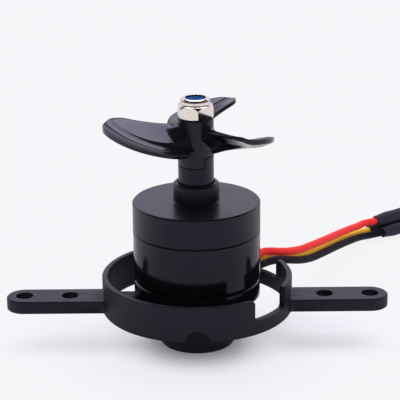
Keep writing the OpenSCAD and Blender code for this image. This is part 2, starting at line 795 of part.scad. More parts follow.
module rotor_can() {
    e = motor_edge;
    color("#15161a") rotate_extrude() polygon([
        [can_r, can_z0], [motor_r - e, can_z0], [motor_r, can_z0 + e],
        [motor_r, can_z1 - e / 2], [motor_r - e / 2, can_z1], [can_r, can_z1]
    ]);
}

module rotor_magnets() {
    step = 360 / magnet_count;
    color("#b9bcc2") for (i = [0 : magnet_count - 1])
        rotate([0, 0, step * i + magnet_gap / 2]) rotate_extrude(angle = step - magnet_gap)
            translate([magnet_r - magnet_t + press_gap, stack_mid - magnet_h / 2])
                square([magnet_t - press_gap, magnet_h]);
}

// Shaft with a clip groove below and a wider stud above the cap
module shaft() {
    r = shaft_d / 2;
    s = stud_d / 2;
    e = steel_edge;
    color("#c3c5c8") rotate_extrude() polygon([
        [0, shaft_z0], [r - e, shaft_z0], [r, shaft_z0 + e], [r, clip_z0],
        [groove_d / 2, clip_z0], [groove_d / 2, clip_z0 + clip_t + press_gap],
        [r, clip_z0 + clip_t + press_gap], [r, dog_z0], [s, dog_z0], [s, shaft_z1 - e],
        [s - e, shaft_z1], [0, shaft_z1]
    ]);
}

module lower_washer() {
    color("#b0863a")
        turned(shaft_d / 2 + press_gap, washer_od / 2, lower_washer_z0, lower_washer_z0 + washer_t);
}

module upper_washer() {
    color("#b0863a") turned(shaft_d / 2 + press_gap, washer_od / 2, upper_washer_z0,
        upper_washer_z0 + washer_t - press_gap);
}

// Open spring clip in the shaft's groove
module retaining_clip() {
    color("#54575c") rotate([0, 0, 30]) rotate_extrude(angle = 300)
        translate([groove_d / 2 + press_gap, clip_z0 + press_gap / 2])
            square([(washer_od - groove_d) / 2 - press_gap, clip_t]);
}

// Bar across the axis in the tongue's direction
module tongue_bar(w, z0, z1) {
    rotate([0, 0, tongue_angle])
        translate([-dog_od, -w / 2, z0]) cube([2 * dog_od, w, z1 - z0]);
}

module drive_dog() {
    r = dog_od / 2;
    color("#26272c") difference() {
        union() {
            translate([0, 0, dog_z0]) cylinder(r = r, h = dog_z1 - dog_z0);
            intersection() {
                translate([0, 0, dog_z0]) cylinder(r = r, h = dog_z1 - dog_z0 + tongue_h);
                tongue_bar(tongue_w, dog_z1 - cut, dog_z1 + tongue_h);
            }
        }
        translate([0, 0, dog_z0 - cut])
            cylinder(d = stud_d + 2 * press_gap, h = dog_z1 - dog_z0 + tongue_h + 2 * cut);
    }
}

// Triangles that close a section ring of n points, the first at a, between its two faces
function section_cap(a, n) = [for (j = [0 : n / 2 - 2], k = [0, 1])
    k == 0 ? [a + j, a + j + 1, a + n - 2 - j] : [a + j, a + n - 2 - j, a + n - 1 - j]];

// Blade as a loft of its sections
module blade() {
    n = 2 * (face_points + cove_points + 1);
    last = (blade_stations - 1) * n;
    polyhedron(
        [for (i = [0 : blade_stations - 1]) each blade_section(station(i))],
        concat(
            [for (f = section_cap(0, n)) [f[2], f[1], f[0]]],
            [for (i = [0 : blade_stations - 2]) each band(i * n, (i + 1) * n, n)],
            section_cap(last, n)
        )
    );
}

module propeller() {
    r = dog_od / 2;
    e = turned_edge;
    color("#1a1b20") difference() {
        union() {
            rotate_extrude() polygon([
                [stud_d / 2 + slide_gap, dog_z1], [r, dog_z1], [r, prop_z1 - e],
                [r - e, prop_z1], [stud_d / 2 + slide_gap, prop_z1]
            ]);
            for (i = [0 : blade_count - 1])
                rotate([0, 0, blade_angle + 360 * i / blade_count])
                    translate([0, 0, dog_z1]) blade();
        }
        tongue_bar(tongue_w + 2 * slide_gap, dog_z1 - cut, dog_z1 + tongue_h + slide_gap);
    }
}

module lock_nut() {
    corner = nut_af / sqrt(3);
    flat_z = nut_z1 - nut_collar_h;
    bevel = corner - nut_af / 2;
    foot_bevel = 0.6 * bevel;
    top_bevel = 1.4 * bevel;
    r = nut_collar_d / 2;
    dome = insert_sink + 0.2;
    color("#c9c4bc") difference() {
        union() {
            intersection() {
                translate([0, 0, prop_z1]) rotate([0, 0, nut_angle])
                    cylinder(r = corner, h = flat_z - prop_z1, $fn = 6);
                rotate_extrude() polygon([
                    [0, prop_z1], [nut_af / 2, prop_z1], [corner, prop_z1 + foot_bevel],
                    [corner, flat_z - top_bevel], [nut_af / 2 - turned_edge, flat_z], [0, flat_z]
                ]);
            }
            rotate_extrude() polygon([
                [0, flat_z - eps], [r, flat_z - eps], [r, nut_z1 - dome],
                [r - dome / 3, nut_z1 - dome / 3], [r - dome, nut_z1], [0, nut_z1]
            ]);
        }
        translate([0, 0, prop_z1 - cut])
            cylinder(d = stud_d + 2 * press_gap, h = insert_z0 - prop_z1 + cut + eps);
        translate([0, 0, insert_z0]) cylinder(d = nut_collar_d - 2 * insert_wall, h = insert_h);
        translate([0, 0, insert_z0]) cylinder(d = nut_mouth_d, h = nut_z1 - insert_z0 + cut);
    }
}

module nylon_insert() {
    color("#1f5fb4") turned(insert_bore / 2, nut_collar_d / 2 - insert_wall - press_gap,
        insert_z0 + press_gap, insert_z1 - press_gap);
}

mount_bracket();
motor_base();
stator_core();
lower_insulator();
upper_insulator();
stator_windings();
lower_bush();
upper_bush();
base_screws();
lead_grommet();
red_lead();
yellow_lead();
black_lead();
red_sleeve();
yellow_sleeve();
black_sleeve();
red_bullet();
yellow_bullet();
black_bullet();
bell_cap();
rotor_can();
rotor_magnets();
shaft();
lower_washer();
upper_washer();
retaining_clip();
drive_dog();
propeller();
lock_nut();
nylon_insert();
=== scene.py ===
"""Looks of a small underwater thruster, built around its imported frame.

The motor keeps its own solids, which get a finish. The bracket, the propeller, the lock
nut, the leads and their sleeves are made finer here. Sizes are in millimetres until a
mesh is made, and every mesh is in metres. Places on the floor are in metres.
"""

import logging
import math
from collections.abc import Sequence
from dataclasses import dataclass
from enum import Enum
from typing import ClassVar

import bmesh
import bpy
from mathutils import Matrix, Vector


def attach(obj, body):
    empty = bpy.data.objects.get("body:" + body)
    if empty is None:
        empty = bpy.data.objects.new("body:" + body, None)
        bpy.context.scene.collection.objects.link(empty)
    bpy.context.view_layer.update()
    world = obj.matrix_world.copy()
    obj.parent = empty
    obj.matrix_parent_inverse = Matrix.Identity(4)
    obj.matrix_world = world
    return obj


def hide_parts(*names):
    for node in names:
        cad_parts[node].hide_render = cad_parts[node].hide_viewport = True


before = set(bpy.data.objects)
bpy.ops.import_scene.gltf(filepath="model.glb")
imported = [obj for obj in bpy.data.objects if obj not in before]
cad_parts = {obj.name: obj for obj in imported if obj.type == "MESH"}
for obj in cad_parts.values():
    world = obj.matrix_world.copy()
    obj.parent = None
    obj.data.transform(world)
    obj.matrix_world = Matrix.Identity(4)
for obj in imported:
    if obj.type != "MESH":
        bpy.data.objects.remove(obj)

LOG = logging.getLogger("thruster")
MM = 0.001
SOLID_SHARP = 32.0  # degrees above which an edge of a solid stays sharp
CUTTER_SHARP = 30.0
WELD_MM = 0.005
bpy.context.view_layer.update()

Triple = tuple[float, float, float]
Pair = tuple[float, float]
Socket = bpy.types.NodeSocket
Thing = bpy.types.Object
Skin = bmesh.types.BMesh


class Body(Enum):
    """The two bodies of the frame."""

    BRACKET = "bracket"
    ROTOR = "rotor"


class Grain(Enum):
    """The small texture that a finish carries."""

    BLASTED = "bead-blasted skin"
    TURNED = "fine rings of a lathe tool"
    COATED = "faint waviness"
    MOULDED = "skin of moulded plastic"
    POLISHED = "hair-fine scratches"
    RUBBER = "soft skin of rubber"


class Signal:
    """A shader socket that takes part in Python expressions."""

    def __init__(self, graph: "Graph", socket: Socket) -> None:
        """Keep the socket and the graph that it belongs to."""
        self.graph = graph
        self.socket = socket

    def _join(self, operation: str, first: "Value", second: "Value") -> "Signal":
        """Add one Math node.

        Args:
            operation: Name of the Math node's operation.
            first: Value or signal of the first input.
            second: Value or signal of the second input.

        Returns:
            The result as a signal.
        """
        node = self.graph.add("ShaderNodeMath", {0: first, 1: second}, operation=operation)
        return self.graph.signal(node)

    def __add__(self, other: "Value") -> "Signal":
        """Sum."""
        return self._join("ADD", self, other)

    __radd__ = __add__

    def __mul__(self, other: "Value") -> "Signal":
        """Product."""
        return self._join("MULTIPLY", self, other)

    __rmul__ = __mul__

    def __sub__(self, other: "Value") -> "Signal":
        """Difference."""
        return self._join("SUBTRACT", self, other)

    def __rsub__(self, other: float) -> "Signal":
        """Difference from a number."""
        return self._join("SUBTRACT", other, self)

    def __pow__(self, other: "Value") -> "Signal":
        """Power."""
        return self._join("POWER", self, other)

    def over(self, other: "Value") -> "Signal":
        """The larger of two values."""
        return self._join("MAXIMUM", self, other)

    def between(self, low: float, high: float, height: float = 1.0) -> "Signal":
        """Smooth step.

        Args:
            low: Value up to which the step is 0.
            high: Value from which the step is full.
            height: Height of the full step.

        Returns:
            The step as a signal.
        """
        sockets = {"Value": self, "From Min": low, "From Max": high, "To Max": height}
        node = self.graph.add("ShaderNodeMapRange", sockets, interpolation_type="SMOOTHSTEP")
        return self.graph.signal(node, "Result")


Value = Signal | float
Spot = tuple[Signal, Signal, Signal, Signal]


class Graph:
    """The node tree of a material or of the world."""

    def __init__(self, owner: bpy.types.Material | bpy.types.World) -> None:
        """Empty the owner's tree and take it over."""
        owner.use_nodes = True
        self.tree = owner.node_tree
        self.tree.nodes.clear()

    def add(
        self, kind: str, sockets: dict[str | int, object] | None = None, **settings: str
    ) -> bpy.types.Node:
        """Add a node, set it up and feed its sockets.

        Args:
            kind: Blender's name of the node type.
            sockets: A value, a signal or a socket for each input by name or index.
            **settings: Properties of the node, set first.

        Returns:
            The new node.
        """
        node = self.tree.nodes.new(kind)
        for name, value in settings.items():
            setattr(node, name, value)
        for name, value in (sockets or {}).items():
            entry = node.inputs[name]
            if isinstance(value, Signal):
                self.tree.links.new(value.socket, entry)
            elif isinstance(value, Socket):
                self.tree.links.new(value, entry)
            else:
                entry.default_value = (*value, 1.0) if entry.type == "RGBA" else value
        return node

    def signal(self, node: bpy.types.Node, name: str | int = 0) -> Signal:
        """A node's output as a signal."""
        return Signal(self, node.outputs[name])

    def blend(self, share: Value, first: object, second: object) -> Signal:
        """Mix two colours.

        Args:
            share: Share of the second colour.
            first: Colour or signal at share 0.
            second: Colour or signal at share 1.

        Returns:
            The mixed colour.
        """
        node = self.add("ShaderNodeMix", {0: share, 6: first, 7: second}, data_type="RGBA")
        return self.signal(node, 2)

    def axes(self, place: Socket) -> Spot:
        """Split a place.

        Args:
            place: Socket with the place.

        Returns:
            Its X, Y and Z, and its distance from the shaft.
        """
        split = self.add("ShaderNodeSeparateXYZ", {0: place})
        x, y, z = (self.signal(split, i) for i in range(3))
        return x, y, z, (x * x + y * y) ** 0.5

    def noise(self, place: Socket, size_mm: float, detail: float = 2.0) -> Signal:
        """Noise with features of a given size.

        Args:
            place: Socket with the place in metres.
            size_mm: Size of a feature.
            detail: Octaves of finer noise.

        Returns:
            The noise from 0 to 1.
        """
        sockets = {"Vector": place, "Scale": 1 / (size_mm * MM), "Detail": detail}
        return self.signal(self.add("ShaderNodeTexNoise", sockets))

    def rings(self, place: Socket, pitch_mm: float) -> Signal:
        """Uneven rings round the shaft and along it, as a lathe tool leaves them.

        Args:
            place: Socket with the place in metres.
            pitch_mm: Usual distance of two rings.

        Returns:
            The rings from 0 to 1.
        """
        _, _, z, reach = self.axes(place)
        sockets = {"W": reach + z, "Scale": 1 / (pitch_mm * MM), "Detail": 3.0}
        return self.signal(self.add("ShaderNodeTexNoise", sockets, noise_dimensions="1D"))


@dataclass(frozen=True)
class Finish:
    """How a surface looks: its colour, its gloss, its grain and any painted shade."""

    CLOUD_IN_ROUGH: ClassVar[float] = 0.55
    CLOUD_IN_COLOUR: ClassVar[float] = 0.6
    RINGS_IN_GRAIN: ClassVar[float] = 0.8
    PITS_IN_GRAIN: ClassVar[float] = 0.5
    SCRATCH: ClassVar[Triple] = (1.0, 1.0, 0.15)
    # Colour of painted shade, which stands in for shade in a mouth or round a ring's edge.
    PAINTED_SHADE_COLOUR: ClassVar[Triple] = (0.004, 0.006, 0.012)

    name: str
    colour: Triple
    shade: Triple
    rough: Pair
    grain: Grain
    grain_mm: float = 0.2
    relief_mm: float = 0.004
    cloud_mm: float = 9.0
    metallic: float = 0.0
    specular: float = 0.5
    tint: Triple = (1.0, 1.0, 1.0)
    # Radii about the shaft where painted shade begins and where it is full.
    painted_shade_mm: Pair | None = None
    satin_mm: Pair | None = None
    satin: float = 0.2

    def paint(self) -> bpy.types.Material:
        """Make the material.

        Returns:
            The new material, with colour, roughness and relief from its grain.
        """
        material = bpy.data.materials.new(self.name)
        graph = Graph(material)
        place = graph.add("ShaderNodeTexCoord").outputs["Object"]
        cloud = graph.noise(place, self.cloud_mm, 3.0)
        fine = self._grain(graph, place)
        low, high = self.rough
        in_rough, in_colour = self.CLOUD_IN_ROUGH, self.CLOUD_IN_COLOUR
        rough = low + (high - low) * (cloud * in_rough + fine * (1 - in_rough))
        mottle = cloud * in_colour + fine * (1 - in_colour)
        colour = graph.blend(mottle, self.shade, self.colour)
        if self.satin_mm:
            rough = rough + self.satin * self._near(graph, place, self.satin_mm)
        # Painted shade: the colour darkens past a radius from the shaft.
        if self.painted_shade_mm:
            painted_shade = self._near(graph, place, self.painted_shade_mm)
            colour = graph.blend(painted_shade, colour, self.PAINTED_SHADE_COLOUR)
        relief = {"Strength": 1.0, "Distance": self.relief_mm * MM, "Height": fine}
        sockets = {
            "Base Color": colour,
            "Roughness": rough,
            "Metallic": self.metallic,
            "Specular IOR Level": self.specular,
            "Specular Tint": self.tint,
            "Normal": graph.signal(graph.add("ShaderNodeBump", relief), "Normal"),
        }
        shader = graph.add("ShaderNodeBsdfPrincipled", sockets)
        graph.add("ShaderNodeOutputMaterial", {"Surface": shader.outputs[0]})
        return material

    @staticmethod
    def _near(graph: Graph, place: Socket, radii: Pair) -> Signal:
        """Share of more roughness or of painted shade, going by the distance from the shaft.

        Args:
            graph: The material's graph.
            place: Socket with the place in metres.
            radii: Radius where the change begins, and radius where it is complete.

        Returns:
            The share from 0 to 1.
        """
        begin, end = radii
        step = graph.axes(place)[3].between(min(radii) * MM, max(radii) * MM)
        return step if end > begin else 1 - step

    def _grain(self, graph: Graph, place: Socket) -> Signal:
        """The small texture of the finish.

        Args:
            graph: The material's graph.
            place: Socket with the place in metres.

        Returns:
            The grain from 0 to 1.
        """
        if self.grain is Grain.TURNED:
            rings, noise = graph.rings(place, self.grain_mm), graph.noise(place, self.grain_mm)
            return rings * self.RINGS_IN_GRAIN + noise * (1 - self.RINGS_IN_GRAIN)
        if self.grain is Grain.POLISHED:
            drawn = graph.add("ShaderNodeMapping", {"Vector": place, "Scale": self.SCRATCH})
            return graph.noise(drawn.outputs[0], self.grain_mm, 4.0)
        if self.grain is Grain.MOULDED:
            sockets = {"Vector": place, "Scale": 1 / (self.grain_mm * MM)}
            pits = graph.signal(graph.add("ShaderNodeTexVoronoi", sockets), "Distance")
            noise = graph.noise(place, self.grain_mm * 2)
            return pits * self.PITS_IN_GRAIN + noise * (1 - self.PITS_IN_GRAIN)
        return graph.noise(place, self.grain_mm, 3.0)


class Finishes:
    """All finishes of the thruster, each made once."""

    VIOLET: Triple = (0.72, 0.72, 1.0)
    BRACKET = Finish(
        "black_anodised_blasted", (0.0065, 0.007, 0.0095), (0.004, 0.0045, 0.006),
        (0.42, 0.54), Grain.BLASTED, grain_mm=0.16, relief_mm=0.003, specular=0.6, tint=VIOLET,
    )
    TURNED = Finish(
        "black_anodised_turned", (0.0065, 0.007, 0.0095), (0.004, 0.0045, 0.006),
        (0.26, 0.36), Grain.TURNED, grain_mm=0.12, relief_mm=0.001, specular=0.42, tint=VIOLET,
    )
    CAN = Finish(
        "gloss_black_can", (0.004, 0.0042, 0.0055), (0.003, 0.0032, 0.004),
        (0.09, 0.15), Grain.COATED, grain_mm=0.9, relief_mm=0.0005, tint=VIOLET,
    )
    PROPELLER = Finish(
        "black_moulded_propeller", (0.006, 0.0065, 0.009), (0.004, 0.0045, 0.006),
        (0.15, 0.2), Grain.MOULDED,
        grain_mm=0.18, relief_mm=0.0002, specular=0.58, tint=VIOLET, satin_mm=(7.0, 5.4),
    )
    NUT = Finish(
        "polished_nickel", (0.9, 0.82, 0.77), (0.78, 0.71, 0.66),
        (0.04, 0.1), Grain.POLISHED,
        # painted shade on the rim's inner wall, round the mouth
        grain_mm=0.25, relief_mm=0.0008, metallic=1.0, painted_shade_mm=(3.2, 3.08),
    )
    STEEL = Finish(
        "ground_steel", (0.62, 0.62, 0.63), (0.48, 0.48, 0.5),
        (0.2, 0.34), Grain.TURNED, grain_mm=0.1, relief_mm=0.001, metallic=1.0,
    )
    NYLON = Finish(
        "blue_nylon", (0.045, 0.23, 0.68), (0.03, 0.16, 0.52),
        # painted shade round the edge of the ring's top face, under the rim
        (0.3, 0.45), Grain.MOULDED, grain_mm=0.15, relief_mm=0.002, painted_shade_mm=(2.86, 2.95),
    )
    GROMMET = Finish(
        "black_rubber", (0.016, 0.016, 0.018), (0.01, 0.01, 0.012),
        (0.5, 0.65), Grain.RUBBER, grain_mm=0.15, relief_mm=0.003,
    )
    RED = Finish(
        "red_silicone", (0.87, 0.031, 0.028), (0.77, 0.022, 0.019),
        (0.4, 0.52), Grain.RUBBER, grain_mm=0.25, relief_mm=0.003, specular=0.12,
    )
    YELLOW = Finish(
        "yellow_silicone", (0.97, 0.64, 0.05), (0.88, 0.53, 0.035),
        (0.4, 0.52), Grain.RUBBER, grain_mm=0.25, relief_mm=0.003, specular=0.12,
    )
    BLACK = Finish(
        "black_silicone", (0.007, 0.007, 0.011), (0.005, 0.005, 0.008),
        (0.4, 0.52), Grain.RUBBER, grain_mm=0.25, relief_mm=0.003, specular=0.08, tint=VIOLET,
    )
    SLEEVE = Finish(
        "black_shrink_tube", (0.03, 0.031, 0.045), (0.022, 0.023, 0.034),
        (0.44, 0.58), Grain.RUBBER, grain_mm=0.4, relief_mm=0.008, specular=0.2, tint=VIOLET,
    )
    GOLD = Finish(
        "gold_plating", (0.86, 0.6, 0.22), (0.72, 0.47, 0.15),
        (0.16, 0.28), Grain.POLISHED, grain_mm=0.2, relief_mm=0.001, metallic=1.0,
    )
    COPPER = Finish(
        "enamelled_copper", (0.55, 0.2, 0.08), (0.38, 0.12, 0.045),
        (0.25, 0.4), Grain.TURNED, grain_mm=0.35, relief_mm=0.02, metallic=1.0,
    )
    LAMINATION = Finish(
        "stack_of_sheet_steel", (0.36, 0.37, 0.39), (0.22, 0.22, 0.24),
        (0.35, 0.55), Grain.TURNED, grain_mm=0.3, relief_mm=0.01, metallic=1.0,
    )
    MOULDED_PALE = Finish(
        "pale_moulded_plastic", (0.74, 0.7, 0.6), (0.62, 0.58, 0.48),
        (0.4, 0.55), Grain.MOULDED,
    )
    BRONZE = Finish(
        "bronze_washer", (0.5, 0.32, 0.13), (0.36, 0.22, 0.08),
        (0.3, 0.45), Grain.TURNED, metallic=1.0,
    )

    def __init__(self) -> None:
        """Start with no material made."""
        self._made: dict[str, bpy.types.Material] = {}

    def of(self, finish: Finish) -> bpy.types.Material:
        """The finish's material, made at its first use."""
        if finish.name not in self._made:
            self._made[finish.name] = finish.paint()
        return self._made[finish.name]

    def dress_node(self, node: str, finish: Finish) -> None:
        """Give a solid of the frame its finish and smooth shading.

        Args:
            node: Name of the solid.
            finish: Its finish.
        """
        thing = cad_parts[node]
        self._cover(thing, finish)
        smooth(thing.data, SOLID_SHARP)

    def dress_piece(
        self, piece: Thing, body: Body, node: str, finish: Finish, slot: str | None = None
    ) -> None:
        """Let a new piece stand for a solid of the frame, with its own finish.

        Args:
            piece: The piece.
            body: The body that it rides on.
            node: Name of the solid.
            finish: The piece's finish.
            slot: Not used.
        """
        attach(piece, body.value)
        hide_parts(node)
        self._cover(piece, finish)

    def _cover(self, thing: Thing, finish: Finish) -> None:
        """Give an object one material and report it.

        Args:
            thing: The object.
            finish: Its finish.
        """
        thing.data.materials.clear()
        thing.data.materials.append(self.of(finish))
        LOG.info("%s has %s", thing.name, finish.name)


@dataclass
class Assembly:
    """A sub-assembly, which takes its looks from the thruster's finishes."""

    finishes: Finishes


def smooth(mesh: bpy.types.Mesh, sharp_degrees: float) -> None:
    """Shade a mesh smooth up to an angle.

    Args:
        mesh: The mesh.
        sharp_degrees: Angle above which an edge stays sharp.
    """
    mesh.polygons.foreach_set("use_smooth", [True] * len(mesh.polygons))
    mesh.set_sharp_from_angle(angle=math.radians(sharp_degrees))


def put(name: str, data: bpy.types.ID) -> Thing:
    """Make an object and link it to the scene.

    Args:
        name: Name of the object.
        data: Its mesh, curve, lamp or lens.

    Returns:
        The new object.
    """
    thing = bpy.data.objects.new(name, data)
    bpy.context.scene.collection.objects.link(thing)
    return thing


def as_object(name: str, bm: Skin, sharp_degrees: float) -> Thing:
    """Turn a bmesh in millimetres into an object in metres.

    Args:
        name: Name of the piece.
        bm: The mesh, which is freed.
        sharp_degrees: Angle above which an edge stays sharp.

    Returns:
        The new object, linked to the scene.
    """
    bmesh.ops.scale(bm, vec=(MM, MM, MM), verts=bm.verts)
    bmesh.ops.recalc_face_normals(bm, faces=bm.faces)
    mesh = bpy.data.meshes.new(name)
    bm.to_mesh(mesh)
    bm.free()
    smooth(mesh, sharp_degrees)
    return put(name, mesh)


def loft(bm: Skin, rings: Sequence[Sequence[Vector]], round_trip: bool = False) -> None:
    """Skin a row of closed rings that have the same number of points.

    Args:
        bm: The mesh to add to.
        rings: The rings in order.
        round_trip: Whether the last ring joins the first, or else both are closed by a face.
    """
    rows = [[bm.verts.new(point) for point in ring] for ring in rings]
    if round_trip:
        rows.append(rows[0])
    else:
        bm.faces.new(rows[0][::-1])
        bm.faces.new(rows[-1])
    for first, second in zip(rows, rows[1:]):
        count = len(first)
        for i in range(count):
            j = (i + 1) % count
            bm.faces.new((first[i], first[j], second[j], second[i]))


def lathe(bm: Skin, outline: Sequence[Pair], segments: int, place: Matrix) -> None:
    """Turn a closed outline of radius and height about the local Z axis.

    Args:
        bm: The mesh to add to.
        outline: Points of the outline, all off the axis.
        segments: Number of steps round the axis.
        place: Where the turned piece goes.
    """
    turns = [2 * math.pi * k / segments for k in range(segments)]
    rings = [[place @ polar(r, a, z) for r, z in outline] for a in turns]
    loft(bm, rings, round_trip=True)


def polar(r: float, angle: float, z: float) -> Vector:
    """Point at a radius, an angle in radians and a height."""
    return Vector((r * math.cos(angle), r * math.sin(angle), z))


def quarter(steps: int) -> list[float]:
    """Angles in radians from 0 to a right angle in equal steps."""
    return [math.pi / 2 * k / steps for k in range(steps + 1)]


def arc(centre: Pair, radius: float, start: float, end: float, steps: int) -> list[Pair]:
    """Points of an arc in an outline.

    Args:
        centre: Centre of the arc.
        radius: Its radius.
        start: First angle in degrees.
        end: Last angle in degrees.
        steps: Number of steps.

    Returns:
        The points from start to end.
    """
    angles = [math.radians(start + (end - start) * k / steps) for k in range(steps + 1)]
    return [(centre[0] + radius * math.cos(a), centre[1] + radius * math.sin(a)) for a in angles]


def bake(thing: Thing) -> None:
    """Give an object the mesh that its modifiers make, and drop the modifiers.

    Args:
        thing: The object.
    """
    bpy.context.view_layer.update()
    graph = bpy.context.evaluated_depsgraph_get()
    shaped = bpy.data.meshes.new_from_object(thing.evaluated_get(graph))
    thing.modifiers.clear()
    thing.data = shaped


def carve(thing: Thing, cutter: Thing) -> None:
    """Take one object's shape out of another, drop the cutter and weld slivers.

    Args:
        thing: The object that gets a new mesh.
        cutter: The object that is taken out.
    """
    cut = thing.modifiers.new("cut", "BOOLEAN")
    cut.object, cut.operation, cut.solver = cutter, "DIFFERENCE", "EXACT"
    bake(thing)
    bpy.data.objects.remove(cutter)
    bm = bmesh.new()
    bm.from_mesh(thing.data)
    bmesh.ops.remove_doubles(bm, verts=bm.verts, dist=WELD_MM * MM)
    bmesh.ops.triangulate(bm, faces=bm.faces)
    bmesh.ops.dissolve_degenerate(bm, edges=bm.edges, dist=WELD_MM * MM)
    bmesh.ops.triangulate(bm, faces=bm.faces)
    bm.to_mesh(thing.data)
    bm.free()


@dataclass
class Viewpoint:
    """The camera, at the photograph's viewing angle."""

    aim: Triple = (1.103, 0.0, 45.474)
    distance: float = 502.73
    elevation: float = 18.449
    roll: float = 0.521
    field_of_view: float = 13.674
    clip: Pair = (0.01, 20.0)

    def build(self) -> None:
        """Make the camera and point it at the thruster."""
        tilt, roll = math.radians(self.elevation), math.radians(self.roll)
        back = Vector((0, -math.cos(tilt), math.sin(tilt)))
        right = Vector((1, 0, 0))
        up = back.cross(right)
        across = right * math.cos(roll) - up * math.sin(roll)
        upward = right * math.sin(roll) + up * math.cos(roll)
        lens = bpy.data.cameras.new("viewpoint")
        lens.sensor_fit = "HORIZONTAL"
        lens.angle = math.radians(self.field_of_view)
        lens.clip_start, lens.clip_end = self.clip
        thing = put("viewpoint", lens)
        place = Matrix((across, upward, back)).transposed().to_4x4()
        place.translation = (Vector(self.aim) + back * self.distance) * MM
        thing.matrix_world = place
        bpy.context.scene.camera = thing
        LOG.info("camera placed")


